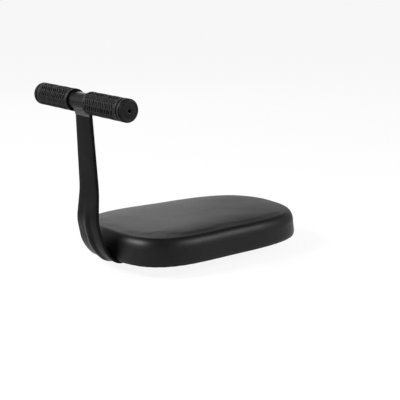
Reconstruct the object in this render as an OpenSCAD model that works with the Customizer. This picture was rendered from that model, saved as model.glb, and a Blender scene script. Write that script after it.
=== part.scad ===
// Rear rack seat for a child: a padded cushion on a plywood board, a bent steel
// handle post with a short cross bar and two rubber grips, and the clamps that
// hold the seat on the rails of a bicycle's rear rack.
// Millimetres. +X points forward, +Y to the left and +Z up. The origin is the centre
// of the underside, on the plane that the rack's rails bear against.

/* [Seat cushion] */
// Length of the cushion, rear end to front end
seat_l = 327; // [280:1:400]
// Width of the cushion at its waist
seat_w = 213; // [180:1:260]
// Height of the cushion at the edge of its top
seat_h = 40; // [36:0.5:60]
// Rise of the top from its edge to its middle
crown_h = 4; // [1:0.5:10]
// How soon the top flattens out on its way in, 2 is an even dome
crown_power = 4.5; // [2:0.1:6]
// Half width that both ends gain over the waist
end_flare = 19.4; // [0:0.2:30]
// Half width that the front gains and the rear loses
front_flare = 5.8; // [0:0.2:12]
// Squareness of the front corners, 2 is an ellipse
front_power = 2.96; // [2:0.02:4]
// Squareness of the rear corners, 2 is an ellipse
rear_power = 2.44; // [2:0.02:4]
// Height of the rounded shoulder round the top
shoulder_h = 19; // [10:0.5:22]
// Inward run of the rounded shoulder
shoulder_in = 12.7; // [8:0.1:20]
// Lean of the side wall over its height
wall_draft = 1.7; // [0:0.1:4]
// Inward run of the rounded lower edge
edge_in = 3.5; // [3:0.5:8]
// Height of the rounded lower edge
edge_h = 4.5; // [4:0.5:10]
// Extra inward run of the lower edge where the post passes it
front_tuck = 10; // [8:0.5:12]
// Extra height of the lower edge's rounding where the post passes it
tuck_rise = 4.5; // [2:0.5:5]
// Half width of the stretch that is tucked in for the post
tuck_half_w = 38; // [36:1:60]

/* [Cushion layers] */
// Thickness of the leather cover
cover_t = 1.2; // [0.8:0.1:2]
// Thickness of the plywood board
board_t = 12; // [11.5:0.5:18]
// Soft overhang of the cushion past the edge of the board
board_in = 16; // [16:0.5:22]
// Width of the cover's hem that lies under the board
hem_w = 17; // [12:0.5:24]
// Width of a staple's crown
staple_w = 10; // [6:0.5:14]
// Diameter of the staple wire
staple_wire = 0.7; // [0.5:0.1:1]
// Length of a staple's legs
staple_leg = 6; // [4:0.5:10]
// Number of staples round the hem
staple_count = 36; // [16:1:44]

/* [Handle post] */
// Thickness of the flat bar
post_t = 5; // [4:0.5:6]
// Width of the bar at the cross bar
post_top_w = 37.5; // [26:0.5:38]
// Width of the bar at its first bend, above the cushion
post_mid_w = 46.5; // [34:0.5:50]
// Width of the bar round the lower bend
post_bend_w = 59; // [44:0.5:62]
// Width of the foot under the board
foot_w = 40; // [30:0.5:46]
// Height of the pressed ridge along the lower bend
ridge_h = 3; // [1:0.25:4]
// Width of the pressed ridge at its root
ridge_w = 15; // [10:0.5:20]
// Gap between the front of the cushion and the post's front face at mid height
post_reach = 24.6; // [24.6:0.2:36]
// Lean of the post's upper stretch, in degrees forward
post_lean = 3; // [0:0.2:8]
// Distance of the foot's rear end ahead of the origin
foot_end_x = 10; // [4:1:20]

/* [Cross bar and grips] */
// Height of the cross bar's axis over the underside
handle_z = 227.2; // [180:0.2:300]
// Outer diameter of the cross bar
tube_d = 25; // [22:0.1:28]
// Wall of the cross bar
tube_wall = 2; // [1.5:0.1:3]
// Overall width of the handle over both grips
handle_w = 229.8; // [200:0.2:320]
// Bare length of the cross bar between the grips
grip_gap = 40.6; // [39:0.2:60]
// Thickness of the grip's rubber
grip_wall = 3.4; // [2.4:0.1:4]
// Thickness of the closed end of a grip
grip_end_t = 4; // [3:0.5:6]
// Diameter of the small vent in a grip's end
vent_d = 4.2; // [2:0.2:6]
// Leg of the weld between bar and cross bar
weld_leg = 7; // [4:0.5:8]

/* [Handle fastening] */
// Place of the front handle bolt ahead of the origin
handle_bolt_x = 62; // [58:1:66]
// Distance between the two handle bolts
handle_bolt_gap = 34; // [26:1:38]
// Thread diameter of the handle bolts
handle_bolt_d = 8; // [6:1:8]
// Length of the handle bolts under the head
handle_bolt_l = 20; // [18:1:20]

/* [Rack clamps] */
// Distance between the front and rear clamps
clamp_gap_x = 180; // [150:1:184]
// Distance between the two bolts of one clamp
clamp_gap_y = 64; // [60:1:80]
// Diameter of the rack rails that the clamps take
rail_d = 8; // [6:0.5:10]
// Length of a clamp plate, across the rack
plate_l = 130; // [110:1:150]
// Width of a clamp plate
plate_w = 20; // [16:1:26]
// Thickness of a clamp plate
plate_t = 2.5; // [2:0.5:4]
// Thread diameter of the clamp bolts
clamp_bolt_d = 6; // [5:1:6]
// Height of the clamp bolts' thread inside the board's nuts
clamp_bolt_grip = 10; // [8:0.5:10]

/* [Hidden] */
$fn = 64;

// Finishes
LEATHER = "#2b2b2b";
FOAM = "#e6dcc0";
PLY = "#c79a63";
LINING = "#1f1f1f";
ZINC = "#b9bcc0";
PAINT = "#1c1c1c";
RUBBER = "#262626";

// Room left where one piece passes freely through or by another
hole_clear = 0.5;
eps = 0.01;
// How far a cut runs past the faces that it opens
past = 1;

// Sizes of bolts, nuts and washers as shares of the thread diameter
head_af = 1.65;
head_t = 0.66;
washer_od = 2.05;
washer_id = 1.07;
washer_t = 1.6;
spring_od = 1.9;
spring_split = 1.2;
spring_turn = 25;
nut_barrel = 1.3;
nut_flange = 2.9;
nut_flange_t = 1.5;
nut_depth = 10;
prong_l = 6;
prong_w = 2.4;
prong_t = 1;

// Levels from the underside up
board_z = cover_t;
board_top_z = board_z + board_t;
wall_top_z = seat_h - shoulder_h;
hem_in = board_in + hem_w;
half_l = seat_l / 2;

// Corners of the post's front face: a knee above the cushion, an elbow beside it, a
// heel in front of its lower edge and the sole that lies under the board
front_x = half_l + post_reach;
knee_z = 101.5;
elbow_z = 56.8;
elbow_x = front_x + 3.9;
heel_z = 13.4;
heel_x = elbow_x - 10.7;
sole_x = elbow_x - 32.3;
knee_r = 150;
elbow_r = 60;
heel_r = 62;
sole_r = 22;
rise = handle_z - knee_z;

// Stretches over which the bar changes its width and its ridge fades out
bend_top_z = 24;
ridge_full_z = 45;
ridge_top_z = 82;
sole_run = 8;
foot_taper = 42;
ridge_fade = 26;
foot_round = 8;

// Handle places
handle_x = front_x + (rise - tube_d / 2) * tan(post_lean) - post_t / 2;
grip_l = (handle_w - grip_gap) / 2;
grip_r = tube_d / 2 + grip_wall;
tube_l = handle_w - 2 * grip_end_t;

// Clamp levels, downwards from the underside
plate_z = -rail_d - plate_t;
clamp_head_z = plate_z - 2 * washer_t - head_t * clamp_bolt_d;
handle_head_z = -post_t - 2 * washer_t - head_t * handle_bolt_d;

function sgn_pow(v, p) = sign(v) * pow(abs(v), p);
function smooth(u) = u * u * (3 - 2 * u);

// Outline of the cushion: a rounded oblong with a waist, drawn by quarter turns whose
// steps close up where the sides run straight
quarter_steps = 18;
turn = [for (q = [0:3], i = [0:quarter_steps - 1]) 90 * (q + smooth(i / quarter_steps))];
function along(a) = sgn_pow(cos(a), 2 / (cos(a) > 0 ? front_power : rear_power));
function across(a) = sgn_pow(sin(a), 2 / (cos(a) > 0 ? front_power : rear_power));
function half_w(k) = seat_w / 2 + front_flare * k + end_flare * k * k;
function outline(d) = [
    for (a = turn) [(half_l - d) * along(a), (half_w(along(a)) - d) * across(a)]];

// Share of the full tuck that a point of the outline gets where the post passes
tuck_power = 8;
function tuck(p) =
    p[0] < 0 || abs(p[1]) > tuck_half_w ? 0 : 1 - pow(p[1] / tuck_half_w, tuck_power);

// One level of the cushion, d inside the outline, scaled about the middle. In the
// tuck its edge goes further in by in_more and up by up_more
function ring(d, z, scale = 1, in_more = 0, up_more = 0) = [
    for (a = turn)
        let (share = tuck([half_l * along(a), half_w(along(a)) * across(a)]),
             e = d + in_more * share)
        [scale * (half_l - e) * along(a),
         scale * (half_w(along(a)) - e) * across(a), z + up_more * share]];

edge_steps = 4;
shoulder_steps = 8;
crown_steps = [0.07, 0.16, 0.29, 0.48, 0.75];
top_in = wall_draft + shoulder_in;

// Levels of the cushion's skin from the crown down to its lower edge; s is the depth
// of the surface under the outside of the cover
function skin(s) = concat(
    [for (k = [len(crown_steps) - 1:-1:0])
        ring(top_in + s, seat_h + crown_h * (1 - pow(1 - crown_steps[k], crown_power)) - s,
             1 - crown_steps[k])],
    [for (i = [shoulder_steps:-1:0])
        let (a = 90 * i / shoulder_steps)
        ring(wall_draft + s + shoulder_in * (1 - cos(a)),
             wall_top_z + (shoulder_h - s) * sin(a))],
    [for (i = [0:edge_steps])
        let (a = 90 * i / edge_steps)
        ring(s + edge_in * (1 - cos(a)), edge_h - (edge_h - s) * sin(a), 1,
             front_tuck * (1 - cos(a)), tuck_rise * (1 - sin(a)))]);

// A closed solid through a list of rings, with flat ends on the first and the last.
// From ring back_from on, the facets slant the other way, so that a wall's inside
// matches the outside of what fills it
module loft(rings, back_from = 1000) {
    n = len(rings[0]);
    last = len(rings) - 1;
    polyhedron(
        points = [for (r = rings, p = r) p],
        faces = concat(
            [[for (i = [n - 1:-1:0]) i]],
            [for (j = [0:last - 1], i = [0:n - 1])
                let (k = (i + 1) % n, a = j * n + i, b = j * n + k,
                     c = (j + 1) * n + k, d = (j + 1) * n + i)
                each j < back_from ? [[a, b, c], [a, c, d]] : [[a, b, d], [b, c, d]]],
            [[for (i = [0:n - 1]) last * n + i]]),
        convexity = 6);
}

// Places of the fasteners
handle_bolt_places = [[handle_bolt_x, 0], [handle_bolt_x - handle_bolt_gap, 0]];
clamp_bolt_places = [
    for (x = [-1, 1], y = [-1, 1]) [x * clamp_gap_x / 2, y * clamp_gap_y / 2]];

// Side line of the post's front face, top to foot, each corner with its bend radius
post_corners = [
    [front_x + rise * tan(post_lean), handle_z, 0],
    [front_x, knee_z, knee_r],
    [elbow_x, elbow_z, elbow_r],
    [heel_x, heel_z, heel_r],
    [sole_x, -post_t, sole_r],
    [foot_end_x, -post_t, 0]];
bend_steps = 8;
function unit(v) = v / norm(v);
function flat(p) = [p[0], p[1]];
function bend(a, b, c) =
    let (u = unit(flat(a) - flat(b)), w = unit(flat(c) - flat(b)),
         half = acos(u * w) / 2, r = b[2],
         centre = flat(b) + unit(u + w) * r / sin(half),
         from = flat(b) + u * r / tan(half) - centre,
         side = sign(u[0] * w[1] - u[1] * w[0]),
         sweep = -side * (180 - 2 * half))
    [for (i = [0:bend_steps])
        let (t = sweep * i / bend_steps)
        centre + [from[0] * cos(t) - from[1] * sin(t), from[0] * sin(t) + from[1] * cos(t)]];
last_corner = len(post_corners) - 1;
foot_points = [sole_x - sole_run - ridge_fade, sole_x - sole_run - foot_taper,
    foot_end_x + foot_round, foot_end_x + foot_round / 4, foot_end_x];
post_line = concat(
    [flat(post_corners[0])],
    [for (i = [1:last_corner - 1])
        each bend(post_corners[i - 1], post_corners[i], post_corners[i + 1])],
    [for (x = foot_points) [x, -post_t]]);
line_last = len(post_line) - 1;
function heading(i) = unit(post_line[min(i + 1, line_last)] - post_line[max(i - 1, 0)]);

// Width of the bar and height of its ridge at a point of that line
function on_foot(p) = p[1] < -post_t + eps;
function bar_w(p) =
    on_foot(p) ? lookup(p[0], [
        [foot_end_x, foot_w - 2 * foot_round],
        [foot_end_x + foot_round / 4, foot_w - foot_round],
        [foot_end_x + foot_round, foot_w],
        [sole_x - sole_run - foot_taper, foot_w],
        [sole_x - sole_run, post_bend_w]]) :
    lookup(p[1], [
        [bend_top_z, post_bend_w], [knee_z, post_mid_w], [handle_z, post_top_w]]);
function bar_ridge(p) =
    on_foot(p) ? lookup(p[0], [
        [sole_x - sole_run - ridge_fade, 0], [sole_x - sole_run, ridge_h]]) :
    lookup(p[1], [[ridge_full_z, ridge_h], [ridge_top_z, 0]]);

// One cross section of the bar: edges eased on both faces, ridge on the front face
edge_ease = 1.5;
ridge_round = 0.8;
function bar_section(i) =
    let (p = post_line[i], h = heading(i), out = [-h[1], h[0]],
         w = bar_w(p) / 2, r = bar_ridge(p), e = edge_ease, c = ridge_w / 2)
    [for (q = [
        [-w, -post_t + e], [-w + e, -post_t], [w - e, -post_t], [w, -post_t + e],
        [w, -e], [w - e, 0], [c, 0], [c / 3, r * ridge_round], [0, r], [-c / 3, r * ridge_round],
        [-c, 0], [-w + e, 0], [-w, -e]])
        [p[0] + out[0] * q[1], q[0], p[1] + out[1] * q[1]]];

module hex_bolt(d, head_z, tip_z) {
    translate([0, 0, head_z]) {
        cylinder(d = head_af * d / cos(30), h = head_t * d, $fn = 6);
        cylinder(d = d, h = tip_z - head_z);
    }
}

module flat_washer(d, z) {
    translate([0, 0, z]) difference() {
        cylinder(d = washer_od * d, h = washer_t);
        translate([0, 0, -past]) cylinder(d = washer_id * d, h = washer_t + 2 * past);
    }
}

module spring_washer(d, z) {
    translate([0, 0, z]) difference() {
        cylinder(d = spring_od * d, h = washer_t);
        translate([0, 0, -past]) cylinder(d = washer_id * d, h = washer_t + 2 * past);
        rotate([0, 0, spring_turn]) translate([0, -spring_split / 2, -past])
            cube([spring_od * d, spring_split, washer_t + 2 * past]);
    }
}

// Flanged nut driven into the top of the board; hole is its thread
module tee_nut_body(d) {
    flange_r = nut_flange * d / 2;
    translate([0, 0, board_top_z - nut_flange_t]) cylinder(r = flange_r, h = nut_flange_t);
    translate([0, 0, board_top_z - nut_depth]) cylinder(d = nut_barrel * d, h = nut_depth);
    for (a = [45:90:315]) rotate([0, 0, a])
        translate([flange_r - 1.6 * prong_t, -prong_w / 2, board_top_z - prong_l])
            cube([prong_t, prong_w, prong_l - nut_flange_t / 2]);
}

module tee_nut(d) {
    difference() {
        tee_nut_body(d);
        translate([0, 0, board_z]) cylinder(d = d, h = board_t + past);
    }
}

module at_places(places) {
    for (p = places) translate([p[0], p[1], 0]) children();
}

module board() {
    color(PLY) difference() {
        translate([0, 0, board_z]) linear_extrude(board_t) polygon(outline(board_in));
        at_places(handle_bolt_places) tee_nut_body(handle_bolt_d);
        at_places(clamp_bolt_places) tee_nut_body(clamp_bolt_d);
        at_places(handle_bolt_places) cylinder(d = handle_bolt_d + hole_clear, h = board_t);
        at_places(clamp_bolt_places) cylinder(d = clamp_bolt_d + hole_clear, h = board_t);
        at_staples() staple_legs();
    }
}

module foam_pad() {
    color(FOAM) loft(concat(
        skin(cover_t),
        [ring(board_in, board_z), ring(board_in, board_top_z)]));
}

module leather_cover() {
    inside = skin(cover_t);
    color(LEATHER) difference() {
        loft(concat(
            skin(0),
            [ring(hem_in, 0), ring(hem_in, cover_t)],
            [for (i = [len(inside) - 1:-1:0]) inside[i]]), len(inside) + 2);
        at_staples() staple_legs();
    }
}

module underside_lining() {
    color(LINING) difference() {
        linear_extrude(cover_t) polygon(outline(hem_in));
        at_places(handle_bolt_places) translate([0, 0, -past])
            cylinder(d = handle_bolt_d + hole_clear, h = cover_t + 2 * past);
        at_places(clamp_bolt_places) translate([0, 0, -past])
            cylinder(d = clamp_bolt_d + hole_clear, h = cover_t + 2 * past);
    }
}

module staple_legs() {
    for (side = [-1, 1]) translate([side * (staple_w - staple_wire) / 2, 0, -staple_wire])
        translate([-staple_wire / 2, -staple_wire / 2, 0])
            cube([staple_wire, staple_wire, staple_leg + staple_wire]);
}

module staple() {
    translate([-staple_w / 2, -staple_wire / 2, -staple_wire])
        cube([staple_w, staple_wire, staple_wire]);
    staple_legs();
}

// A staple's place on the hem and its turn, by an even share of a full turn
function staple_line(a) = [
    (half_l - board_in - hem_w / 2) * along(a),
    (half_w(along(a)) - board_in - hem_w / 2) * across(a)];
function staple_angle(i) =
    let (u = i * 4 / staple_count, q = floor(u), f = u - q)
    90 * (q + (f + smooth(f)) / 2);

// Puts its children at each staple, and leaves the post's foot free
module at_staples() {
    for (i = [0.5:staple_count - 0.5]) {
        a = staple_angle(i);
        p = staple_line(a);
        way = staple_line(a + 1) - staple_line(a - 1);
        if (p[0] < 0 || abs(p[1]) > post_bend_w / 2 + staple_w)
            translate([p[0], p[1], 0]) rotate([0, 0, atan2(way[1], way[0])]) children();
    }
}

module cover_staples() {
    color(ZINC) at_staples() staple();
}

module handle_tee_nuts() {
    color(ZINC) at_places(handle_bolt_places) tee_nut(handle_bolt_d);
}

module clamp_tee_nuts() {
    color(ZINC) at_places(clamp_bolt_places) tee_nut(clamp_bolt_d);
}

module cross_bar_axis() {
    translate([handle_x, 0, handle_z]) rotate([-90, 0, 0]) children();
}

module handle_post() {
    color(PAINT) difference() {
        loft([for (i = [line_last:-1:0]) bar_section(i)]);
        cross_bar_axis() cylinder(d = tube_d, h = 2 * post_bend_w, center = true);
        at_places(handle_bolt_places) translate([0, 0, -post_t - past])
            cylinder(d = handle_bolt_d + hole_clear, h = post_t + 2 * past);
    }
}

module cross_bar() {
    color(PAINT) cross_bar_axis() difference() {
        cylinder(d = tube_d, h = tube_l, center = true);
        cylinder(d = tube_d - 2 * tube_wall, h = tube_l + 2 * past, center = true);
    }
}

// Half of the weld: a fillet between the bar's face and the tube above it
module weld_side() {
    face = post_t / 2;
    tube_low = handle_z - tube_d / 2;
    toe = face + 0.6;
    belly = 0.6;
    fall = 0.3;
    climb = 0.45;
    translate([0, post_top_w / 2, 0]) rotate([90, 0, 0]) linear_extrude(post_top_w)
        polygon([[0, tube_low - weld_leg], [toe, tube_low - weld_leg],
                 [face + weld_leg * belly, tube_low - weld_leg * fall],
                 [face + weld_leg, tube_low + weld_leg * climb],
                 [0, tube_low + weld_leg * climb]]);
}

module weld_bead() {
    color(PAINT) difference() {
        for (turn_by = [0, 180]) translate([handle_x, 0, 0]) rotate([0, 0, turn_by]) weld_side();
        cross_bar_axis() cylinder(d = tube_d, h = 2 * post_bend_w, center = true);
        loft([for (i = [line_last:-1:0]) bar_section(i)]);
    }
}

// Grip turned about its axis: z runs from its inner end to its closed end
module grip() {
    band = 4.5;
    plain_w = 5.1;
    groove_w = 3.4;
    groove_depth = 1.2;
    ring_w = 4.2;
    dome_l = 3.2;
    dome_in = 3.5;
    swell = 0.45;
    ease = 0.8;
    slope = 0.6;
    ring_z = grip_l - dome_l - ring_w;
    groove_z = ring_z - groove_w;
    plain_z = groove_z - plain_w;
    r = grip_r;
    difference() {
        rotate_extrude() polygon([
            [0, 0], [r - ease, 0], [r, ease], [r, band],
            [r - swell, band + swell], [r - swell, plain_z - swell], [r, plain_z],
            [r, groove_z], [r - groove_depth, groove_z + slope],
            [r - groove_depth, ring_z - slope], [r, ring_z], [r, ring_z + ring_w],
            [r - dome_in / 4, grip_l - dome_l / 2], [r - dome_in, grip_l], [0, grip_l]]);
        translate([0, 0, -past]) cylinder(d = tube_d, h = grip_l - grip_end_t + past);
        cylinder(d = vent_d, h = grip_l + past);
    }
}

module left_grip() {
    color(RUBBER) translate([handle_x, grip_gap / 2, handle_z]) rotate([-90, 0, 0]) grip();
}

module right_grip() {
    color(RUBBER) translate([handle_x, -grip_gap / 2, handle_z]) rotate([90, 0, 0]) grip();
}

module handle_bolts() {
    tip_z = handle_head_z + head_t * handle_bolt_d + handle_bolt_l;
    color(ZINC) at_places(handle_bolt_places) hex_bolt(handle_bolt_d, handle_head_z, tip_z);
}

module handle_flat_washers() {
    color(ZINC) at_places(handle_bolt_places) flat_washer(handle_bolt_d, -post_t - washer_t);
}

module handle_spring_washers() {
    color(ZINC) at_places(handle_bolt_places) spring_washer(handle_bolt_d, -post_t - 2 * washer_t);
}

module clamp_plate() {
    translate([0, 0, plate_z]) difference() {
        union() {
            translate([-plate_w / 2, -(plate_l - plate_w) / 2, 0])
                cube([plate_w, plate_l - plate_w, plate_t]);
            for (side = [-1, 1]) translate([0, side * (plate_l - plate_w) / 2, 0])
                cylinder(d = plate_w, h = plate_t);
        }
        for (side = [-1, 1]) translate([0, side * clamp_gap_y / 2, -past])
            cylinder(d = clamp_bolt_d + hole_clear, h = plate_t + 2 * past);
    }
}

module front_clamp_plate() {
    color(ZINC) translate([clamp_gap_x / 2, 0, 0]) clamp_plate();
}

module rear_clamp_plate() {
    color(ZINC) translate([-clamp_gap_x / 2, 0, 0]) clamp_plate();
}

module clamp_bolts() {
    color(ZINC) at_places(clamp_bolt_places)
        hex_bolt(clamp_bolt_d, clamp_head_z, board_z + clamp_bolt_grip);
}

module clamp_flat_washers() {
    color(ZINC) at_places(clamp_bolt_places) flat_washer(clamp_bolt_d, plate_z - washer_t);
}

module clamp_spring_washers() {
    color(ZINC) at_places(clamp_bolt_places) spring_washer(clamp_bolt_d, plate_z - 2 * washer_t);
}

board();
foam_pad();
leather_cover();
underside_lining();
cover_staples();
handle_tee_nuts();
clamp_tee_nuts();
handle_post();
cross_bar();
weld_bead();
left_grip();
right_grip();
handle_bolts();
handle_flat_washers();
handle_spring_washers();
front_clamp_plate();
rear_clamp_plate();
clamp_bolts();
clamp_flat_washers();
clamp_spring_washers();
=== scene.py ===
import math
import bmesh
import bpy
from mathutils import Matrix, Vector, noise
from mathutils.kdtree import KDTree


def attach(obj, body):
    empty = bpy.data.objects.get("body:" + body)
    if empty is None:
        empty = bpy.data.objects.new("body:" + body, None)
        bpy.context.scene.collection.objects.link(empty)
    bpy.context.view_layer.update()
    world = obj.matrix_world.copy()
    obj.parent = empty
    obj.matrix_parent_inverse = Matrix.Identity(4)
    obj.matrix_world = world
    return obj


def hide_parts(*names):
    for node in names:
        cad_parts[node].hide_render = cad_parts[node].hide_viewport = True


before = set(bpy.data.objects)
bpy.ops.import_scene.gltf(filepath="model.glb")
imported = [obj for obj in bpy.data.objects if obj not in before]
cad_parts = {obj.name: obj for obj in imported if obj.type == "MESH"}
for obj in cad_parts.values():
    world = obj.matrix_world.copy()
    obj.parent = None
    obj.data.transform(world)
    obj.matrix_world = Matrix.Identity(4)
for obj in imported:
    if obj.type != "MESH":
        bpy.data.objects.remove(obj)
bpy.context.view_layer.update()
scene = bpy.context.scene

# Sizes, in metres
HALF_LENGTH = 0.1635
WAIST = 0.1065
END_FLARE = 0.0194
FRONT_FLARE = 0.0058
FRONT_POWER, REAR_POWER = 2.96, 2.44
SEAT_EDGE, CROWN, CROWN_POWER = 0.0400, 0.004, 4.5
SHOULDER_H, SHOULDER_IN = 0.019, 0.0127
WALL_DRAFT = 0.0017
EDGE_IN, EDGE_H = 0.0035, 0.0045
TUCK_IN, TUCK_UP, TUCK_HALF, TUCK_POWER = 0.010, 0.0045, 0.038, 8
WALL_TOP = SEAT_EDGE - SHOULDER_H
HEM_IN, BOARD_IN, BOARD_TOP = 0.033, 0.016, 0.0132
# How far the cover starts inside its filled form, and how far the foam stays inside it
COVER_SLACK, FOAM_IN = 0.0032, 0.0044
# Height above which the hem's edge starts to give
HEM_TOP = 0.0005

HANDLE_Z = 0.2272
FRONT_FACE_X = 0.1881
LEAN = math.radians(3.0)
TUBE_R, TUBE_WALL = 0.0125, 0.002
GRIP_GAP, GRIP_L, GRIP_R = 0.0406, 0.0946, 0.0159
BAR_T, BAR_ROUND = 0.005, 0.0014
KNEE_Z = 0.1015
ELBOW_OUT, ELBOW_Z = 0.0039, 0.0568
HEEL_BACK, HEEL_Z = 0.0107, 0.0134
FOOT_RUN, FOOT_END_X = 0.0323, 0.010
POST_TOP_W, POST_MID_W, POST_BEND_W, FOOT_W = 0.0375, 0.0465, 0.059, 0.040
BEND_RADII = (0.150, 0.060, 0.062, 0.022)
RIDGE_H, RIDGE_HALF = 0.003, 0.0125
TUBE_HALF, TUBE_EASE = 0.1109, 0.0003
WELD_HALF, WELD_STOPS = 0.01872, 72
WELD_IN, WELD_OUT, WELD_DROP, WELD_RISE = 0.0024, 0.0068, 0.0070, 0.0100
HANDLE_X = FRONT_FACE_X + (HANDLE_Z - KNEE_Z - TUBE_R) * math.tan(LEAN) - BAR_T / 2
FLOOR_Z = -0.01766
# Depth of a grip's cuts, and the share of the skin's own colour on the ridges between them; the
# rest of their colour is painted shade
TREAD_DEPTH, TREAD_UNSHADED_SHARE = 0.0017, 0.75
# Outward travel of the cloth at which the cover goes all the way, and its least share of it
SWELL_FULL, SWELL_LEAST = 0.0012, 0.85
# The cloth run: mesh size, pressure, last step, and how many neighbours hand on their travel
TWIN_MESH, PRESSURE, LAST_STEP = 0.005, 4.0, 20
NEIGHBOURS, NEAR_SOFT = 20, 0.004


def smooth_step(low, high, value):
    t = min(max((value - low) / (high - low), 0.0), 1.0)
    return t * t * (3 - 2 * t)


def between(value, stops):
    """Straight-line reading of a table of (place, amount)."""
    if value <= stops[0][0]:
        return stops[0][1]
    for (a, u), (b, v) in zip(stops, stops[1:]):
        if value <= b:
            return u + (v - u) * (value - a) / (b - a)
    return stops[-1][1]


# Finishes
class Finish:
    """A surface finish: one Principled shader and the patterns that feed it."""

    def __init__(self, name, **sockets):
        self.material = bpy.data.materials.new(name)
        self.material.use_nodes = True
        self.tree = self.material.node_tree
        self.shader = self.tree.nodes["Principled BSDF"]
        for key, value in sockets.items():
            self.shader.inputs[key.replace("_", " ")].default_value = value
        self.at = self.tree.nodes.new("ShaderNodeTexCoord").outputs["Object"]
        self.bump_end = None

    def join(self, a, b):
        self.tree.links.new(a, b)

    def node(self, kind, **inputs):
        made = self.tree.nodes.new("ShaderNode" + kind)
        for key, value in inputs.items():
            if key in made.inputs:
                socket = made.inputs[key]
            elif key.replace("_", " ") in made.inputs:
                socket = made.inputs[key.replace("_", " ")]
            else:
                setattr(made, key, value)
                continue
            if isinstance(value, bpy.types.NodeSocket):
                self.join(value, socket)
            else:
                socket.default_value = value
        return made

    def grain(self, scale, detail=3.0, rough=0.55, stretch=(1, 1, 1), twist=0.0):
        """Cloudy pattern; scale is in blobs per metre."""
        place = self.node("Mapping", Vector=self.at, Scale=stretch)
        return self.node("TexNoise", Vector=place.outputs[0], Scale=scale, Detail=detail,
                         Roughness=rough, Distortion=twist).outputs[0]

    def cells(self, scale, feature="F1", stretch=(1, 1, 1)):
        place = self.node("Mapping", Vector=self.at, Scale=stretch)
        return self.node("TexVoronoi", Vector=place.outputs[0], Scale=scale,
                         feature=feature).outputs[0]

    def spread(self, value, low, high, to_low=0.0, to_high=1.0):
        return self.node("MapRange", Value=value, From_Min=low, From_Max=high,
                         To_Min=to_low, To_Max=to_high).outputs[0]

    def sum(self, a, b, how="ADD"):
        made = self.tree.nodes.new("ShaderNodeMath")
        made.operation = how
        for socket, value in zip(made.inputs, (a, b)):
            if isinstance(value, bpy.types.NodeSocket):
                self.join(value, socket)
            else:
                socket.default_value = value
        return made.outputs[0]

    def blend(self, share, dark, light):
        made = self.tree.nodes.new("ShaderNodeMix")
        made.data_type = "RGBA"
        self.join(share, made.inputs[0])
        for socket, value in ((made.inputs[6], dark), (made.inputs[7], light)):
            if isinstance(value, bpy.types.NodeSocket):
                self.join(value, socket)
            else:
                socket.default_value = (*value, 1)
        return made.outputs[2]

    def colour(self, socket):
        self.join(socket, self.shader.inputs["Base Color"])

    def roughness(self, socket):
        self.join(socket, self.shader.inputs["Roughness"])

    def bump(self, height, depth, strength=1.0):
        """Adds relief, depth metres from the low to the high of the pattern."""
        made = self.node("Bump", Strength=strength, Distance=depth, Height=height)
        if self.bump_end:
            self.join(self.bump_end, made.inputs["Normal"])
        self.bump_end = made.outputs[0]
        self.join(self.bump_end, self.shader.inputs["Normal"])


def black_leather():
    f = Finish("black_leather", Roughness=0.42, Specular_IOR_Level=0.19)
    pores = f.cells(950, "F1")
    folds = f.grain(520, 4, 0.6, twist=0.6)
    cloud = f.grain(22, 4, 0.6)
    f.colour(f.blend(f.spread(f.sum(cloud, f.sum(folds, 0.35, "MULTIPLY")), 0.35, 0.95),
                     (0.0026, 0.0026, 0.0029), (0.0056, 0.0056, 0.0060)))
    f.roughness(f.spread(f.sum(folds, f.sum(cloud, 0.4, "MULTIPLY")), 0.4, 1.0, 0.39, 0.46))
    f.bump(f.spread(pores, 0.0, 0.8), 0.00009, 0.6)
    f.bump(folds, 0.00016, 0.5)
    return f.material


def black_powder_coat(name="black_powder_coat", peel=0.00005, shine=0.05, matt=0.36):
    f = Finish(name, Roughness=matt, Specular_IOR_Level=shine)
    speck = f.grain(1500, 2, 0.5)
    cloud = f.grain(40, 3, 0.5)
    f.colour(f.blend(f.spread(cloud, 0.35, 0.7), (0.0035, 0.0035, 0.0037),
                     (0.0065, 0.0065, 0.0068)))
    f.roughness(f.spread(f.sum(speck, cloud), 0.7, 1.3, matt - 0.07, matt + 0.07))
    f.bump(speck, peel, 0.6)
    return f.material


def rough_weld():
    f = Finish("painted_weld", Roughness=0.5, Specular_IOR_Level=0.4)
    spatter = f.cells(420)
    grit = f.grain(900, 3, 0.7)
    f.colour(f.blend(f.spread(grit, 0.35, 0.7), (0.02, 0.02, 0.021), (0.06, 0.06, 0.062)))
    f.roughness(f.spread(grit, 0.3, 0.8, 0.38, 0.6))
    f.bump(spatter, 0.00025, 0.5)
    f.bump(grit, 0.00015, 0.7)
    return f.material


def soft_rubber():
    f = Finish("soft_rubber", Roughness=0.5, Specular_IOR_Level=0.12)
    dust = f.grain(260, 4, 0.65)
    fine = f.grain(2400, 2, 0.5)
    # painted shade: this share is low in the grip's cuts, groove, steps and bore, and there the
    # colour goes to near black
    painted_light_share = f.node("Attribute", attribute_name="painted_light_share").outputs["Fac"]
    skin = f.blend(f.spread(dust, 0.35, 0.75), (0.0065, 0.0065, 0.0068), (0.0135, 0.0135, 0.0139))
    # painted shade: the near-black colour is blended in where the share is low, and the skin's
    # own colour where it is 1
    f.colour(f.blend(painted_light_share, (0.0005, 0.0005, 0.0006), skin))
    matt = f.spread(painted_light_share, 0.0, 1.0, 0.45, 0.0)
    f.roughness(f.sum(f.spread(dust, 0.3, 0.8, 0.38, 0.55), matt))
    f.bump(fine, 0.00004, 0.5)
    return f.material


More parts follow.
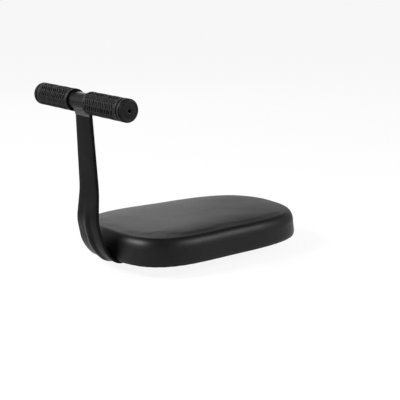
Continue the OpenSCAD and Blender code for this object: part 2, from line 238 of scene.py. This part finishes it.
def zinc_plate(name="zinc_plate", thread_above=None):
    f = Finish(name, Metallic=1.0, Roughness=0.32)
    frost = f.cells(210)
    cloud = f.grain(90, 4, 0.6)
    scratch = f.grain(700, 3, 0.6, stretch=(1, 0.08, 1))
    f.colour(f.blend(f.spread(f.sum(frost, cloud), 0.4, 1.2), (0.43, 0.44, 0.46),
                     (0.66, 0.67, 0.68)))
    f.roughness(f.spread(f.sum(scratch, cloud), 0.7, 1.3, 0.24, 0.45))
    f.bump(scratch, 0.00003, 0.5)
    if thread_above is not None:
        height = f.node("SeparateXYZ", Vector=f.at).outputs[2]
        wave = f.sum(f.sum(height, 2 * math.pi / 0.001, "MULTIPLY"), 0.0, "SINE")
        on = f.spread(height, thread_above, thread_above + 0.0005)
        f.bump(f.sum(wave, on, "MULTIPLY"), 0.00016, 1.0)
    return f.material


def raw_ply():
    f = Finish("raw_ply", Roughness=0.65)
    grain = f.grain(90, 5, 0.6, stretch=(0.12, 1, 1), twist=1.0)
    height = f.node("SeparateXYZ", Vector=f.at).outputs[2]
    plies = f.sum(f.sum(height, 2 * math.pi / 0.0028, "MULTIPLY"), 0.0, "SINE")
    f.colour(f.blend(f.spread(f.sum(grain, f.sum(plies, 0.15, "MULTIPLY")), 0.25, 0.75),
                     (0.36, 0.22, 0.11), (0.66, 0.48, 0.28)))
    f.bump(grain, 0.0002, 0.4)
    return f.material


def pad_foam():
    f = Finish("pad_foam", Roughness=0.9)
    cells = f.cells(900)
    # painted shade: the foam is coloured darker at the centres of its cells, where the bump sinks
    # into pits
    f.colour(f.blend(f.spread(cells, 0.1, 0.7), (0.62, 0.52, 0.34), (0.85, 0.79, 0.62)))
    f.bump(cells, 0.0004, 0.8)
    return f.material


def lining_felt():
    f = Finish("lining_felt", Roughness=0.88, Sheen_Weight=0.15, Sheen_Roughness=0.5)
    fibre = f.grain(1300, 4, 0.7, twist=2.0)
    dots = f.cells(420, "F1")
    cloud = f.grain(30, 3, 0.5)
    f.colour(f.blend(f.spread(f.sum(fibre, f.sum(cloud, 0.5, "MULTIPLY")), 0.5, 1.0),
                     (0.011, 0.011, 0.012), (0.035, 0.035, 0.036)))
    f.bump(dots, 0.0002, 0.6)
    f.bump(fibre, 0.00022, 0.7)
    return f.material


LEATHER = black_leather()
PAINT = black_powder_coat()
TUBE = black_powder_coat("black_tube_coat", 0.00002, 0.13, 0.3)
WELD = rough_weld()
RUBBER = soft_rubber()
ZINC = zinc_plate()
CLAMP_THREAD = zinc_plate("zinc_clamp_bolt", -0.0137)
HANDLE_THREAD = zinc_plate("zinc_handle_bolt", -0.0082)
PLY = raw_ply()
FOAM = pad_foam()
FELT = lining_felt()


# Making pieces
def piece(name, bm, finish, stands_for=(), soft_angle=40.0):
    """Turns a bmesh into a finished piece that rides with the seat."""
    bmesh.ops.recalc_face_normals(bm, faces=bm.faces)
    limit = math.radians(soft_angle)
    for face in bm.faces:
        face.smooth = True
    for edge in bm.edges:
        edge.smooth = len(edge.link_faces) == 2 and edge.calc_face_angle(0.0) < limit
    mesh = bpy.data.meshes.new(name)
    bm.to_mesh(mesh)
    bm.free()
    made = bpy.data.objects.new(name, mesh)
    scene.collection.objects.link(made)
    mesh.materials.append(finish)
    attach(made, "root")
    if stands_for:
        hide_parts(*stands_for)
    return made


def loft(bm, rings):
    """Draws the first ring of places out through the others, and closes both ends."""
    first = bmesh.ops.create_circle(bm, cap_ends=False, segments=len(rings[0]),
                                    radius=0.01)["verts"]
    for vert, place in zip(first, rings[0]):
        vert.co = place
    ring, loop = set(first), first
    edges = [e for e in bm.edges if e.verts[0] in ring and e.verts[1] in ring]
    for places in rings[1:]:
        made = bmesh.ops.extrude_edge_only(bm, edges=edges)["geom"]
        fresh = {v for v in made if isinstance(v, bmesh.types.BMVert)}
        loop = [next(e.other_vert(v) for e in v.link_edges if e.other_vert(v) in fresh)
                for v in loop]
        for vert, place in zip(loop, places):
            vert.co = place
        edges = [e for e in made
                 if isinstance(e, bmesh.types.BMEdge) and fresh.issuperset(e.verts)]
    for end in (first, loop):
        bmesh.ops.contextual_create(bm, geom=end)


def lathe(bm, profile, steps, place):
    """Spins a profile of (radius, height) round the Z axis and then puts it in place."""
    verts = [bm.verts.new((r, 0, z)) for r, z in profile]
    edges = [bm.edges.new(pair) for pair in zip(verts, verts[1:])]
    bmesh.ops.spin(bm, geom=verts + edges, cent=(0, 0, 0), axis=(0, 0, 1), angle=2 * math.pi,
                   steps=steps, use_merge=True)
    bmesh.ops.remove_doubles(bm, verts=bm.verts, dist=1e-6)
    bmesh.ops.transform(bm, matrix=place, verts=bm.verts)


# Cushion
def signed_power(value, power):
    return math.copysign(abs(value) ** power, value)


def rim_place(turn, inset, height, scale=1.0, tuck_in=0.0, tuck_up=0.0):
    """A place on the cushion's outline, turned from the front, inset from its side."""
    c, s = math.cos(turn), math.sin(turn)
    power = 2 / (FRONT_POWER if c > 0 else REAR_POWER)
    along, across = signed_power(c, power), signed_power(s, power)
    half = WAIST + FRONT_FLARE * along + END_FLARE * along * along
    y = half * across
    tuck = 0.0 if along < 0 or abs(y) > TUCK_HALF else 1 - (y / TUCK_HALF) ** TUCK_POWER
    d = inset + tuck_in * tuck
    return Vector((scale * (HALF_LENGTH - d) * along, scale * (half - d) * across,
                   height + tuck_up * tuck))


QUARTER = 48


def rim_turns():
    """Turns round the outline, closer where it is straight."""
    return [math.pi / 2 * (q + 0.5 * (i / QUARTER + smooth_step(0, 1, i / QUARTER)))
            for q in range(4) for i in range(QUARTER)]


def cushion_levels(slack):
    """(inset, height, scale, tuck in, tuck up) from the recess under the board to the
    crown; slack is how far the start shape stays inside the filled one."""
    flat_from, flat_to = HEM_IN - 0.0012, EDGE_IN + 0.0008
    levels = [(HEM_IN + 0.0002, 0.0014, 1, 0, 0), (HEM_IN, 0.0008, 1, 0, 0),
              (HEM_IN - 0.0004, 0.0001, 1, 0, 0), (flat_from, 0.0, 1, 0, 0)]
    for k in range(1, 8):
        levels.append((flat_from - (flat_from - flat_to) * k / 7, 0.0, 1, TUCK_IN * k / 7, 0))
    for i in range(1, 9):
        a = math.pi / 2 * (1 - i / 8)
        z = EDGE_H * (1 - math.sin(a))
        levels.append((EDGE_IN * (1 - math.cos(a)) + slack * smooth_step(0, EDGE_H, z), z, 1,
                       TUCK_IN * (1 - math.cos(a)), TUCK_UP * (1 - math.sin(a))))
    for i in range(1, 5):
        k = i / 4
        levels.append((WALL_DRAFT * k + slack, EDGE_H + (WALL_TOP - EDGE_H) * k, 1, 0,
                       TUCK_UP * (1 - k)))
    for i in range(1, 13):
        a = math.pi / 2 * i / 12
        levels.append((WALL_DRAFT + SHOULDER_IN * (1 - math.cos(a)) + slack * math.cos(a),
                       WALL_TOP + (SHOULDER_H - slack) * math.sin(a), 1, 0, 0))
    for i in range(1, 19):
        k = (i / 19) ** 1.25
        levels.append((WALL_DRAFT + SHOULDER_IN,
                       SEAT_EDGE - slack + CROWN * (1 - (1 - k) ** CROWN_POWER), 1 - k, 0, 0))
    return levels


def swell(made, reach):
    """Swells an evenly meshed twin of the cover by cloth pressure, and lets its travel
    decide the last part of the way out. No point of the cover moves further than reach."""
    twin = bpy.data.objects.new("swelling_twin", made.data.copy())
    scene.collection.objects.link(twin)
    remesh = twin.modifiers.new("even_mesh", "REMESH")
    remesh.mode, remesh.voxel_size = "VOXEL", TWIN_MESH
    seen = twin.evaluated_get(bpy.context.evaluated_depsgraph_get())
    even = bpy.data.meshes.new_from_object(seen)
    twin.modifiers.clear()
    twin.data = even
    start = [v.co.copy() for v in even.vertices]
    held = twin.vertex_groups.new(name="held")
    held.add([i for i, p in enumerate(start) if p.z < EDGE_H], 1.0, "REPLACE")
    cloth = twin.modifiers.new("filling", "CLOTH")
    cloth.settings.quality = 6
    cloth.settings.vertex_group_mass = "held"
    cloth.settings.use_pressure = True
    cloth.settings.uniform_pressure_force = PRESSURE
    cloth.settings.effector_weights.gravity = 0.0
    cloth.collision_settings.use_collision = False
    cloth.point_cache.frame_start, cloth.point_cache.frame_end = 1, LAST_STEP
    for step in range(1, LAST_STEP + 1):
        scene.frame_set(step)
    filled = twin.evaluated_get(bpy.context.evaluated_depsgraph_get())
    moved = [v.co - p for v, p in zip(filled.data.vertices, start)]
    tree = KDTree(len(start))
    for i, p in enumerate(start):
        tree.insert(p, i)
    tree.balance()
    steps = []
    for vert in made.data.vertices:
        near = tree.find_n(vert.co, NEIGHBOURS)
        total = sum(1 / (d + NEAR_SOFT) for _, _, d in near)
        steps.append(sum((moved[i] / (d + NEAR_SOFT) for _, i, d in near), Vector()) / total)
    normals = [v.normal.copy() for v in made.data.vertices]
    for vert, step, normal in zip(made.data.vertices, steps, normals):
        out = step.dot(normal)
        share = min(max(out / SWELL_FULL, SWELL_LEAST), 1.0)
        vert.co += normal * (reach * share * smooth_step(HEM_TOP, EDGE_H, vert.co.z))
    scene.frame_set(1)
    bpy.data.objects.remove(twin)


def fill_with_foam(made, reach):
    """Takes the cover out to its filled form with the cloth run; the plain push after the return
    is never reached.
    """
    swell(made, reach)
    return
    normals = [v.normal.copy() for v in made.data.vertices]
    for vert, normal in zip(made.data.vertices, normals):
        vert.co += normal * (reach * smooth_step(HEM_TOP, EDGE_H, vert.co.z))


def leather_cushion():
    turns = rim_turns()
    bm = bmesh.new()
    rings = [[rim_place(t, inset, height, scale, tuck_in, tuck_up) for t in turns]
             for inset, height, scale, tuck_in, tuck_up in cushion_levels(COVER_SLACK)]
    loft(bm, rings)
    top = max(bm.faces, key=lambda f: f.calc_center_median().z if len(f.verts) > 4 else -1)
    bmesh.ops.poke(bm, faces=[top])
    made = piece("leather_cushion", bm, LEATHER, ("leather_cover",), 180)
    fill_with_foam(made, COVER_SLACK)
    for vert in made.data.vertices:
        p = vert.co
        if p.z < 0.0006 and max(abs(p.x) / HALF_LENGTH, abs(p.y) / WAIST) > 0.5:
            # gathers of the hem, deepest where the outline turns
            angle = math.atan2(p.y * 1.4, p.x)
            corner = max(0.0, abs(math.sin(2 * angle))) ** 2
            fold = noise.noise(Vector((angle * 26, 0.3, 0))) + 0.6 * math.sin(angle * 74)
            p.z += corner * 0.00045 * max(0.0, 0.5 + fold)
        elif p.z > EDGE_H:
            soft = smooth_step(EDGE_H, 0.018, p.z)
            n = noise.noise(p * 26) * 0.00035 + noise.noise(p * 60) * 0.00012
            p += vert.normal * n * soft
    fill = made.modifiers.new("smooth", "SUBSURF")
    fill.levels = fill.render_levels = 1


def foam_block():
    """The foam inside the cover, with the hollow that takes the board."""
    turns = [t for i, t in enumerate(rim_turns()) if i % 2 == 0]
    levels = [level for level in reversed(cushion_levels(FOAM_IN)) if level[1] > EDGE_H * 0.7]
    rings = [[rim_place(t, d, max(height, 0.0045), scale, 0.6 * TUCK_IN + tuck_in * 0.4, tuck_up)
              for t in turns] for d, height, scale, tuck_in, tuck_up in levels]
    rings.append([rim_place(t, BOARD_IN - 0.003, 0.0028) for t in turns])
    rings.append([rim_place(t, BOARD_IN, 0.0030) for t in turns])
    rings.append([rim_place(t, BOARD_IN, BOARD_TOP - 0.0002) for t in turns])
    rings.append([rim_place(t, BOARD_IN + 0.0003, BOARD_TOP) for t in turns])
    bm = bmesh.new()
    loft(bm, rings)
    made = piece("foam_block", bm, FOAM, ("foam_pad",), 60)


def lining():
    """The thin felt under the board, pulled flat inside the hem."""
    bm = bmesh.new()
    turns = [t for i, t in enumerate(rim_turns()) if i % 2 == 0]
    rings = [[rim_place(t, HEM_IN + inset, height) for t in turns]
             for inset, height in ((0.0011, 0.0001), (0.0006, 0.0002), (0.0003, 0.0004),
                                   (0.0003, 0.0010), (0.0006, 0.00115))]
    loft(bm, rings)
    area = sum(f.calc_area() for f in bm.faces if len(f.verts) > 4) / 2
    made = piece("lining_cloth", bm, FELT, ("underside_lining",))


# Bar, tube and weld
def bend(before, corner, after, radius, steps):
    """Places along the round that joins two straight runs of the bar."""
    u = (before - corner).normalized()
    w = (after - corner).normalized()
    half = math.acos(max(-1, min(1, u.dot(w)))) / 2
    centre = corner + (u + w).normalized() * radius / math.sin(half)
    start = corner + u * radius / math.tan(half) - centre
    side = 1 if u.x * w.y - u.y * w.x > 0 else -1
    sweep = -side * (math.pi - 2 * half)
    return [centre + Matrix.Rotation(sweep * i / steps, 2) @ start for i in range(steps + 1)]


def bar_line():
    """Side line of the post's front face as (x, z), from the cross bar to the foot."""
    elbow = FRONT_FACE_X + ELBOW_OUT
    corners = [Vector((FRONT_FACE_X + (HANDLE_Z - KNEE_Z) * math.tan(LEAN), HANDLE_Z)),
               Vector((FRONT_FACE_X, KNEE_Z)), Vector((elbow, ELBOW_Z)),
               Vector((elbow - HEEL_BACK, HEEL_Z)), Vector((elbow - FOOT_RUN, -BAR_T)),
               Vector((FOOT_END_X, -BAR_T))]
    line = [corners[0] + (corners[1] - corners[0]) * 0.09]
    for i, radius in enumerate(BEND_RADII):
        line += bend(corners[i], corners[i + 1], corners[i + 2], radius, 14)
    sole = elbow - FOOT_RUN
    for x in (sole - 0.034, sole - 0.050, 0.110, 0.080, 0.050, 0.030, 0.018, 0.0155, 0.0135,
              0.0120, 0.0108, 0.0102, FOOT_END_X):
        line.append(Vector((x, -BAR_T)))
    full = []
    for a, b in zip(line, line[1:]):
        n = max(1, int((b - a).length / 0.006))
        full += [a + (b - a) * k / n for k in range(n)]
    return full + [line[-1]], sole


def bar_section(p, heading, sole):
    """The flat bar's rounded outline at one place of its line, with the ridge's rise."""
    if p.y > -BAR_T + 1e-5:
        width = between(p.y, [(0.024, POST_BEND_W), (KNEE_Z, POST_MID_W),
                              (HANDLE_Z, POST_TOP_W)])
        ridge = between(p.y, [(0.045, RIDGE_H), (0.082, 0.0)])
    else:
        width = between(p.x, [(FOOT_END_X, 0.024), (0.0102, 0.026), (0.0108, 0.0285),
                              (0.012, 0.0318), (0.0135, 0.0345), (0.0155, 0.0372),
                              (0.018, FOOT_W), (sole - 0.050, FOOT_W),
                              (sole - 0.008, POST_BEND_W)])
        ridge = between(p.x, [(sole - 0.034, 0.0), (sole - 0.008, RIDGE_H)])
    out = Vector((-heading.y, heading.x))
    w, r = width / 2, BAR_ROUND
    places = []
    for cx, cy, start in ((-w + r, -BAR_T + r, 180), (w - r, -BAR_T + r, 270), (w - r, -r, 0)):
        for k in range(4):
            a = math.radians(start + 30 * k)
            places.append((cx + r * math.cos(a), cy + r * math.sin(a)))
    for k in range(-8, 9):
        t = -k / 8
        places.append((t * RIDGE_HALF, ridge * (0.5 + 0.5 * math.cos(math.pi * t))))
    for k in range(4):
        a = math.radians(90 + 30 * k)
        places.append((-w + r + r * math.cos(a), -r + r * math.sin(a)))
    return [Vector((p.x + out.x * v, u, p.y + out.y * v)) for u, v in places]


def handle_post():
    line, sole = bar_line()
    bm = bmesh.new()
    rings = []
    for i, p in enumerate(line):
        heading = (line[min(i + 1, len(line) - 1)] - line[max(i - 1, 0)]).normalized()
        rings.append(bar_section(p, heading, sole))
    loft(bm, rings)
    piece("post_bar", bm, PAINT, ("handle_post",), 32)


def tube_place(y, facing):
    """Puts a shape made round Z on the cross bar's line, starting at y."""
    turn = Matrix.Rotation(math.radians(-90 * facing), 4, "X")
    return Matrix.Translation((HANDLE_X, y, HANDLE_Z)) @ turn


def cross_tube():
    bm = bmesh.new()
    half, inner, ease = TUBE_HALF, TUBE_R - TUBE_WALL, TUBE_EASE
    profile = [(inner, -half + ease), (inner + ease, -half), (TUBE_R - ease, -half),
               (TUBE_R, -half + ease), (TUBE_R, half - ease), (TUBE_R - ease, half),
               (inner + ease, half), (inner, half - ease), (inner, -half + ease)]
    lathe(bm, profile, 96, tube_place(0, 1))
    piece("cross_tube", bm, TUBE, ("cross_bar",), 32)


def weld():
    """A rippled run of weld on each side, from edge to edge of the bar."""
    bm = bmesh.new()
    for side in (-1, 1):
        rings = []
        for i in range(WELD_STOPS + 1):
            y = -WELD_HALF + 2 * WELD_HALF * i / WELD_STOPS
            phase = (y / 0.0026) % 1.0
            bulge = 1.0 + 0.16 * (phase * (1 - phase) * 4 - 0.6)
            bulge += 0.10 * noise.noise(Vector((y * 400, side * 3.1, 0)))
            ends = min(1.0, 0.72 + 0.28 * (1 - abs(y) / WELD_HALF) * 8)
            ring = []
            for k in range(9):
                a = k / 8
                x = WELD_IN + (WELD_OUT - WELD_IN) * (1 - math.cos(a * math.pi / 2))
                x += 0.0012 * math.sin(a * math.pi) * bulge
                z = HANDLE_Z - TUBE_R - WELD_DROP + WELD_RISE * a ** 0.9
                ring.append(Vector((HANDLE_X + side * (0.0021 + (x - 0.0021) * ends * bulge),
                                    y, z + 0.0003 * noise.noise(Vector((y * 300, a * 3, side))))))
            ring.append(Vector((HANDLE_X, y, ring[-1].z)))
            ring.append(Vector((HANDLE_X, y, ring[0].z)))
            rings.append(ring)
        loft(bm, rings)
    piece("weld_run", bm, WELD, ("weld_bead",), 50)


# Grips
def tread(u, v, lap):
    """How deep the rubber is cut at u along and v round the grip, from 0 to 1."""
    rows = 12
    pitch_v, pitch_u = lap / rows, 0.0054
    row = math.floor(v / pitch_v)
    local_v = (v / pitch_v - row - 0.5) * pitch_v
    slant = 0.62 if row % 2 else -0.62
    shift = 0.0027 * (row % 2) + 0.0011 * math.sin(row * 2.4)
    local_u = (u - shift - slant * local_v) / pitch_u
    stop = math.floor(local_u)
    local_u = (local_u - stop - 0.5) * pitch_u + 0.0005 * math.sin(stop * 2.1 + row * 4.7)
    reach = 0.0023 + 0.0006 * math.sin(stop * 3.7 + row * 1.3)
    away = math.hypot(local_u, max(abs(local_v) - reach, 0.0))
    return 1 - smooth_step(0.0008, 0.0015, away)


def grip(side):
    """One rubber grip: inner band, cut tread, plain band, groove, ring and domed end."""
    name = "left" if side > 0 else "right"
    bm = bmesh.new()
    r, bore, length = GRIP_R, TUBE_R, GRIP_L
    start, plain, groove, ring, rim = 0.0055, 0.0787, 0.0838, 0.0872, 0.0914
    profile = [(bore, 0.0002), (bore + 0.0003, 0.0), (r - 0.0010, 0.0), (r - 0.0004, 0.0002),
               (r, 0.0009), (r, 0.0040), (r - 0.0004, 0.0044), (r - 0.0004, 0.0047),
               (r, 0.0050), (r + 0.0001, 0.0052)]
    rows = 176
    profile += [(r, start + (plain - start) * k / rows) for k in range(rows + 1)]
    profile += [(r, plain + 0.0030), (r, groove - 0.0003), (r - 0.0003, groove + 0.0001),
                (r - 0.0014, groove + 0.0005), (r - 0.0014, ring - 0.0005),
                (r - 0.0002, ring - 0.0001), (r, ring + 0.0003), (r, rim - 0.0003),
                (r - 0.0003, rim), (r - 0.0014, rim + 0.0002), (r - 0.0014, rim + 0.0008),
                (r - 0.0011, rim + 0.0012), (r - 0.0014, rim + 0.0018),
                (r - 0.0022, rim + 0.0025), (r - 0.0031, rim + 0.0029),
                (r - 0.0037, rim + 0.0029), (r - 0.0041, rim + 0.0026),
                (r - 0.0046, rim + 0.0026), (0.0080, length - 0.0003), (0.0050, length),
                (0.0026, length), (0.0021, length - 0.0005), (0.0021, length - 0.0038),
                (bore - 0.0004, length - 0.0040), (bore, length - 0.0044), (bore, 0.0002)]
    lathe(bm, profile, 232, Matrix.Identity(4))
    lap = 2 * math.pi * r
    # painted shade: each point's share of the skin's colour; it falls to 0 below the outer face,
    # so recesses render near black
    painted_light_share = bm.verts.layers.float.new("painted_light_share")
    for vert in bm.verts:
        x, y, z = vert.co
        radius = math.hypot(x, y)
        vert[painted_light_share] = smooth_step(r - 0.0011, r - 0.0002, radius)
        if z > rim + 0.0010:
            vert[painted_light_share] = 1.0
        if radius < r - 0.0002 or not start - 1e-6 < z < plain + 1e-6:
            continue
        round_it = (math.atan2(y, x) / (2 * math.pi) + 0.5) * lap
        fade = smooth_step(start, start + 0.0012, z) * (1 - smooth_step(plain - 0.0012, plain, z))
        cut = tread(z - start, round_it, lap) * fade
        wave = 0.00012 * math.sin(z * 210 + round_it * 90)
        new = r - 0.0001 - TREAD_DEPTH * cut + wave * fade
        # painted shade: the cuts get none of the skin's colour, and the ridges between them only
        # part of it
        vert[painted_light_share] = TREAD_UNSHADED_SHARE * (1 - cut)
        vert.co.x, vert.co.y = x * new / radius, y * new / radius
    bmesh.ops.transform(bm, matrix=tube_place(side * GRIP_GAP / 2, side), verts=bm.verts)
    piece(f"{name}_rubber_grip", bm, RUBBER, (f"{name}_grip",), 60)


# Hardware
def eased_copy(node, name, finish, width):
    """A CAD node's own shape with its sharp edges broken."""
    bm = bmesh.new()
    bm.from_mesh(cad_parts[node].data)
    bmesh.ops.remove_doubles(bm, verts=bm.verts, dist=2e-6)
    bmesh.ops.dissolve_limit(bm, angle_limit=math.radians(1.0), verts=bm.verts, edges=bm.edges)
    limit = math.radians(35)
    sharp = [e for e in bm.edges if len(e.link_faces) == 2 and e.calc_face_angle(0) > limit]
    bmesh.ops.bevel(bm, geom=sharp, offset=width, affect="EDGES", segments=2, profile=0.5,
                    material=-1, clamp_overlap=True)
    piece(name, bm, finish, (node,), 28)


# Every piece of the seat
leather_cushion()
foam_block()
lining()
handle_post()
cross_tube()
weld()
grip(1)
grip(-1)
for node, name, finish, ease in (
        ("handle_bolts", "handle_hex_bolts", HANDLE_THREAD, 0.0004),
        ("handle_flat_washers", "handle_washers", ZINC, 0.0002),
        ("handle_spring_washers", "handle_lock_washers", ZINC, 0.0002),
        ("front_clamp_plate", "front_clamp_strip", ZINC, 0.0004),
        ("rear_clamp_plate", "rear_clamp_strip", ZINC, 0.0004),
        ("clamp_bolts", "clamp_hex_bolts", CLAMP_THREAD, 0.0003),
        ("clamp_flat_washers", "clamp_washers", ZINC, 0.0002),
        ("clamp_spring_washers", "clamp_lock_washers", ZINC, 0.0002),
        ("cover_staples", "hem_staples", ZINC, 0.00015)):
    eased_copy(node, name, finish, ease)
for node, finish in (("board", PLY), ("handle_tee_nuts", ZINC), ("clamp_tee_nuts", ZINC)):
    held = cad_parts[node]
    held.data.materials.clear()
    held.data.materials.append(finish)


# Studio
WHITE, PAPER = (1, 1, 1, 1), (0.78, 0.78, 0.78, 1)
FLOOR_REACH, FLOOR_SIDES = 45, 64
# Share of plain white in the floor, as the camera sees it and as a surface mirrors it
FLOOR_SEEN, FLOOR_MIRRORED = 0.9, 0.8
# Ramps as (from, to, value at from, value at to): the mirrored floor by its distance in metres,
# the mirrored sky by its rise, and the dark flag behind the seat by the direction's X
FLOOR_POOL = (0.25, 0.55, 1.0, 0.3)
SKY_FALL = (0.28, 0.52, 1.0, 0.08)
REAR_FLAG = (-0.98, -0.72, 0.1, 1.0)
SKY_LIGHT = 0.35
LAMP_AWAY, LAMP_AIM = 2.0, Vector((0, 0, 0.05))


class Net:
    """Short ways to wire the nodes of the floor and the world."""

    def __init__(self, tree):
        tree.nodes.clear()
        self.tree = tree

    def add(self, kind):
        return self.tree.nodes.new("ShaderNode" + kind)

    def join(self, a, b):
        self.tree.links.new(a, b)

    def maths(self, how, *values):
        made = self.add("Math")
        made.operation = how
        for socket, value in zip(made.inputs, values):
            if isinstance(value, bpy.types.NodeSocket):
                self.join(value, socket)
            else:
                socket.default_value = value
        return made.outputs[0]

    def mirrored(self, ray):
        return self.maths("MAXIMUM", ray.outputs["Is Glossy Ray"],
                          ray.outputs["Is Transmission Ray"])

    def ramp(self, value, low, high, to_low, to_high):
        made = self.add("MapRange")
        for key, number in (("From Min", low), ("From Max", high), ("To Min", to_low),
                            ("To Max", to_high)):
            made.inputs[key].default_value = number
        self.join(value, made.inputs["Value"])
        return made.outputs[0]

    def mix_shader(self, share, first, second):
        made = self.add("MixShader")
        self.join(share, made.inputs[0])
        self.join(first.outputs[0], made.inputs[1])
        self.join(second.outputs[0], made.inputs[2])
        return made


def studio_floor():
    bm = bmesh.new()
    bmesh.ops.create_circle(bm, cap_ends=True, segments=FLOOR_SIDES, radius=FLOOR_REACH)
    bmesh.ops.translate(bm, vec=(0, 0, FLOOR_Z), verts=bm.verts)
    mesh = bpy.data.meshes.new("studio_floor")
    bm.to_mesh(mesh)
    bm.free()
    floor = bpy.data.objects.new("studio_floor", mesh)
    scene.collection.objects.link(floor)
    mat = bpy.data.materials.new("white_paper")
    mat.use_nodes = True
    net = Net(mat.node_tree)
    ray, at = net.add("LightPath"), net.add("TexCoord")
    mirrored = net.mirrored(ray)
    share = net.maths("MULTIPLY_ADD", ray.outputs["Is Camera Ray"], FLOOR_SEEN,
                      net.maths("MULTIPLY", mirrored, FLOOR_MIRRORED))
    away = net.add("VectorMath")
    away.operation = "LENGTH"
    net.join(at.outputs["Object"], away.inputs[0])
    pool = net.ramp(away.outputs["Value"], *FLOOR_POOL)
    glow = net.add("Emission")
    glow.inputs["Color"].default_value = WHITE
    net.join(net.maths("MAXIMUM", ray.outputs["Is Camera Ray"], pool), glow.inputs["Strength"])
    matt = net.add("BsdfDiffuse")
    matt.inputs["Color"].default_value = PAPER
    lit = net.mix_shader(share, matt, glow)
    seen = net.mix_shader(net.add("NewGeometry").outputs["Backfacing"], lit,
                          net.add("BsdfTransparent"))
    net.join(seen.outputs[0], net.add("OutputMaterial").inputs["Surface"])
    mesh.materials.append(mat)


def studio_world():
    world = bpy.data.worlds.new("studio_air")
    scene.world = world
    world.use_nodes = True
    net = Net(world.node_tree)
    ray, at = net.add("LightPath"), net.add("TexCoord")
    part = net.add("SeparateXYZ")
    net.join(at.outputs["Generated"], part.inputs[0])
    camera_ray = ray.outputs["Is Camera Ray"]
    sky = net.maths("MAXIMUM", camera_ray, net.ramp(part.outputs[2], *SKY_FALL))
    flag = net.ramp(part.outputs[0], *REAR_FLAG)
    seen = net.maths("MAXIMUM", camera_ray, net.maths("MULTIPLY", net.mirrored(ray), flag))
    level = net.add("Mix")
    level.inputs[2].default_value = SKY_LIGHT
    net.join(seen, level.inputs[0])
    net.join(sky, level.inputs[3])
    air = net.add("Background")
    air.inputs["Color"].default_value = WHITE
    net.join(level.outputs[0], air.inputs["Strength"])
    net.join(air.outputs[0], net.add("OutputWorld").inputs["Surface"])


def softbox(name, turn, rise, width, height, watts):
    """A soft lamp aimed at the seat; turn from +X and rise are in degrees."""
    turn, rise = math.radians(turn), math.radians(rise)
    place = LAMP_AWAY * Vector((math.cos(turn) * math.cos(rise),
                                math.sin(turn) * math.cos(rise), math.sin(rise)))
    data = bpy.data.lights.new(name, "AREA")
    data.shape = "RECTANGLE"
    data.size, data.size_y = width, height
    data.energy = watts
    lamp = bpy.data.objects.new(name, data)
    scene.collection.objects.link(lamp)
    lamp.location = place
    lamp.rotation_mode = "QUATERNION"
    lamp.rotation_quaternion = (LAMP_AIM - place).to_track_quat("-Z", "Y")


studio_floor()
studio_world()
softbox("softbox_front", -16, 40, 0.8, 0.6, 58)
softbox("softbox_side", 128, 32, 0.6, 0.6, 26)
softbox("softbox_back", 255, 21, 1.6, 0.7, 4)

AIM = Vector((-0.0231, -0.0176, 0.0546))
BACK = Vector((0.5886, 0.7757, 0.2271)).normalized()
CAMERA_AWAY, LENS, SENSOR = 1.610, 93.6, 36.0
view = bpy.data.cameras.new("camera")
view.lens, view.sensor_width = LENS, SENSOR
view.clip_start, view.clip_end = 0.05, 200
camera = bpy.data.objects.new("camera", view)
scene.collection.objects.link(camera)
camera.location = AIM + BACK * CAMERA_AWAY
camera.rotation_mode = "QUATERNION"
camera.rotation_quaternion = (-BACK).to_track_quat("-Z", "Y")
scene.camera = camera
scene.view_settings.view_transform = "Standard"
